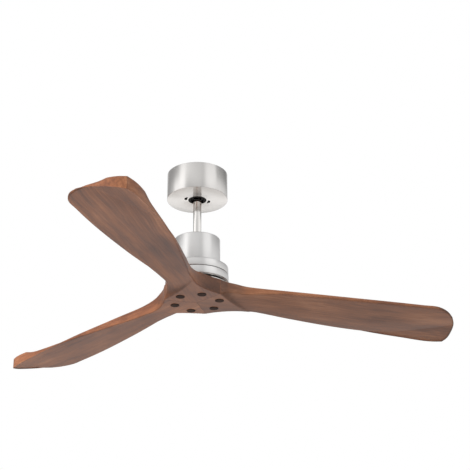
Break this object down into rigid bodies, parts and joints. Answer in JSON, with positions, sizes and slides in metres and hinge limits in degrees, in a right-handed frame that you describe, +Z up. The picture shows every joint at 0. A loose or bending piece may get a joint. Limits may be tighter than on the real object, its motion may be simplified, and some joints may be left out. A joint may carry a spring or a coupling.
{
  "type": "ceiling fan",
  "caption": "Ceiling fan with carved walnut blades on a bare brushed-nickel motor, hung by a short downrod from a drum-shaped canopy",
  "frame": {"origin": "centre of the ceiling bracket's top face, on the ceiling plane and on the downrod's axis", "axes": "+Z up through the ceiling; +X along the bracket, through its two mounting slots"},
  "size_m": [1.1273, 1.1408, 0.3619],
  "materials": {
    "zinc_steel": "zinc-plated pressed steel",
    "brushed_nickel": "satin nickel, brushed round the axis",
    "polished_nickel": "bright nickel plate",
    "dark_screws": "blackened steel",
    "zinc_screws": "bright zinc plate",
    "brass_screws": "plain brass",
    "white_plastic": "moulded polyamide",
    "black_plastic": "moulded black plastic",
    "circuit_board": "green solder mask",
    "black_nylon": "moulded black nylon",
    "lead_sheath": "grey soft sheath",
    "zinc_casting": "die-cast, as cast",
    "cast_aluminium": "die-cast, turned faces",
    "shaft_steel": "ground steel",
    "core_steel": "varnished laminations",
    "copper_wire": "enamelled copper",
    "black_paint": "satin black paint",
    "walnut": "walnut with a satin lacquer"
  },
  "bodies": {
    "ceiling": {"ceiling_bracket": "black_paint", "canopy": "brushed_nickel", "canopy_screws": "dark_screws", "terminal_block": "white_plastic", "terminal_screw": "zinc_screws", "earth_screw": "brass_screws", "receiver_case": "black_plastic", "receiver_lid": "black_plastic", "receiver_board": "circuit_board"},
    "hanging_motor": {"hanger_ball": "black_nylon", "ball_pin": "zinc_screws", "ball_set_screw": "zinc_screws", "downrod": "polished_nickel", "lead_cable": "lead_sheath", "motor_yoke": "zinc_casting", "yoke_pin": "zinc_screws", "yoke_clip": "zinc_screws", "yoke_set_screws": "zinc_screws", "motor_cover": "brushed_nickel", "capacitor": "black_plastic", "capacitor_clip": "zinc_steel", "motor_top_plate": "brushed_nickel", "plate_screws": "zinc_screws", "cover_screws": "zinc_screws", "stator_shaft": "shaft_steel", "shaft_circlip": "zinc_screws", "stator_carrier": "zinc_casting", "stator_core": "core_steel", "stator_windings": "copper_wire"},
    "rotor": {"rotor_drum": "cast_aluminium", "rotor_shell": "brushed_nickel", "shell_screws": "zinc_screws", "rotor_cage": "core_steel", "upper_bearing": "shaft_steel", "lower_bearing": "shaft_steel", "blade_carrier": "black_paint", "blade_plate": "polished_nickel", "carrier_screws": "zinc_screws", "blade_1": "walnut", "blade_2": "walnut", "blade_3": "walnut", "blade_screws": "dark_screws", "blade_washers": "dark_screws"}
  },
  "joints": [
    {"name": "downrod_tilt", "type": "hinge", "parent": "ceiling", "child": "hanging_motor", "pos_m": [0, 0, -0.05], "axis": [1, 0, 0], "range_deg": [-15, 15]},
    {"name": "rotor_spin", "type": "hinge", "parent": "hanging_motor", "child": "rotor", "pos_m": [0, 0, -0.29], "axis": [0, 0, 1], "continuous": true}
  ]
}
